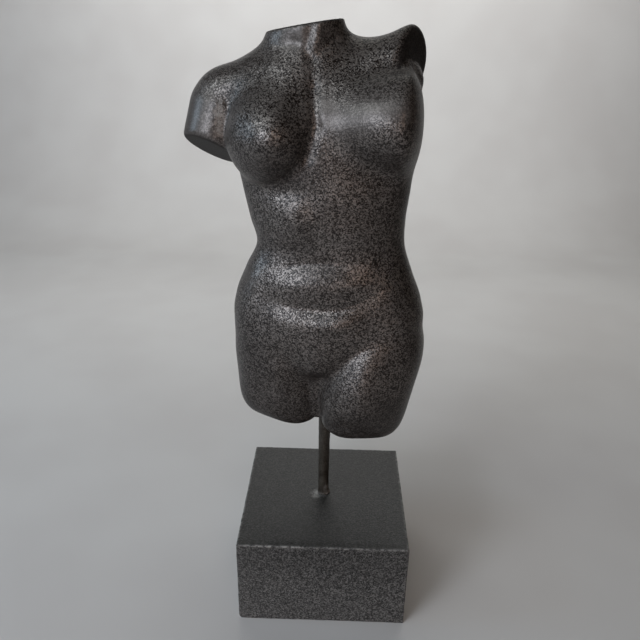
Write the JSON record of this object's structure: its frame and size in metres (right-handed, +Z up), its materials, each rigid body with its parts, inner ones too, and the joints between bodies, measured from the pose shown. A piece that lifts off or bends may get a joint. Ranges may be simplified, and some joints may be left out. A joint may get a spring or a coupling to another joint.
{
  "type": "decorative torso sculpture on a rod and block",
  "caption": "Headless classical female torso with arm stumps and cut-off thighs, dark speckled finish, held up by a thin rod in a square block that stands on its own weight.",
  "frame": {"origin": "middle of the block's underside, at table height", "axes": "+Z up through the block and the rod, -Y the side that the figure looks towards, square to the block's front face"},
  "size_m": [0.1202, 0.09, 0.301],
  "materials": {
    "figure": "satin",
    "rod": "satin",
    "block": "matte"
  },
  "bodies": {
    "root": {"torso": "figure", "support_rod": "rod", "plinth_block": "block"}
  },
  "joints": []
}
